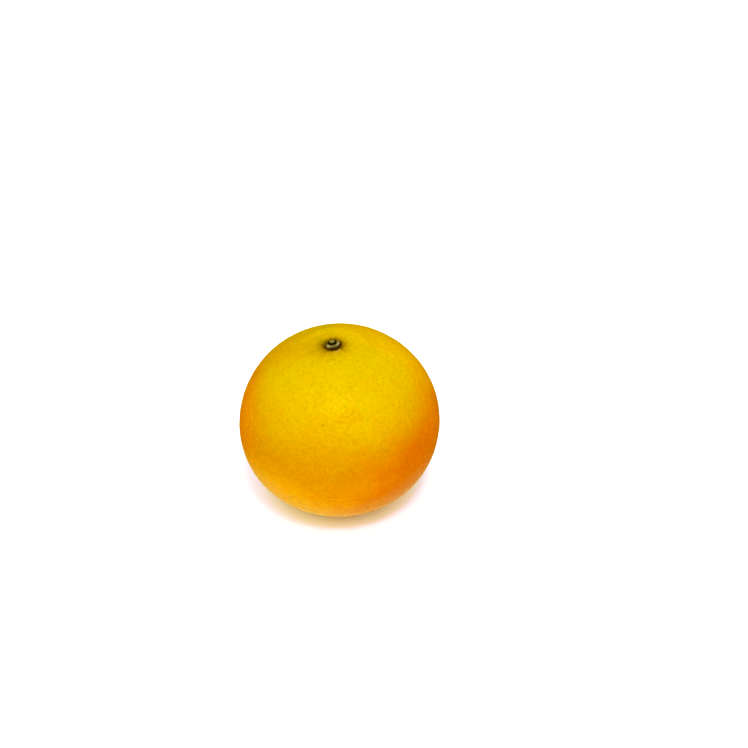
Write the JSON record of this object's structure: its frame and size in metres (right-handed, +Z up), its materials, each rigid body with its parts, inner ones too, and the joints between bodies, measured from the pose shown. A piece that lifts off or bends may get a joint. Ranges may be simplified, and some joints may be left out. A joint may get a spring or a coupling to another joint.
{
  "type": "orange",
  "caption": "Whole sweet orange standing on its small flat spot, stem end up, with a pebbled peel, a five-lobed dry calyx in its shallow hollow and a clipped stalk stub.",
  "frame": {"origin": "middle of the part's footprint, on the surface that it stands on", "axes": "+Z up from the flat spot to the stem end; the stem end leans about 4 degrees towards -X and -Y"},
  "size_m": [0.0764, 0.0754, 0.073],
  "materials": {
    "rind": "waxy pebbled peel, yellow round the stem end and deeper orange below",
    "calyx": "dry, corky, grey-beige and olive",
    "stem": "clipped green-grey wood with a dark bark edge"
  },
  "bodies": {
    "root": {"orange_fruit": "rind", "calyx": "calyx", "stem_stub": "stem"}
  },
  "joints": []
}
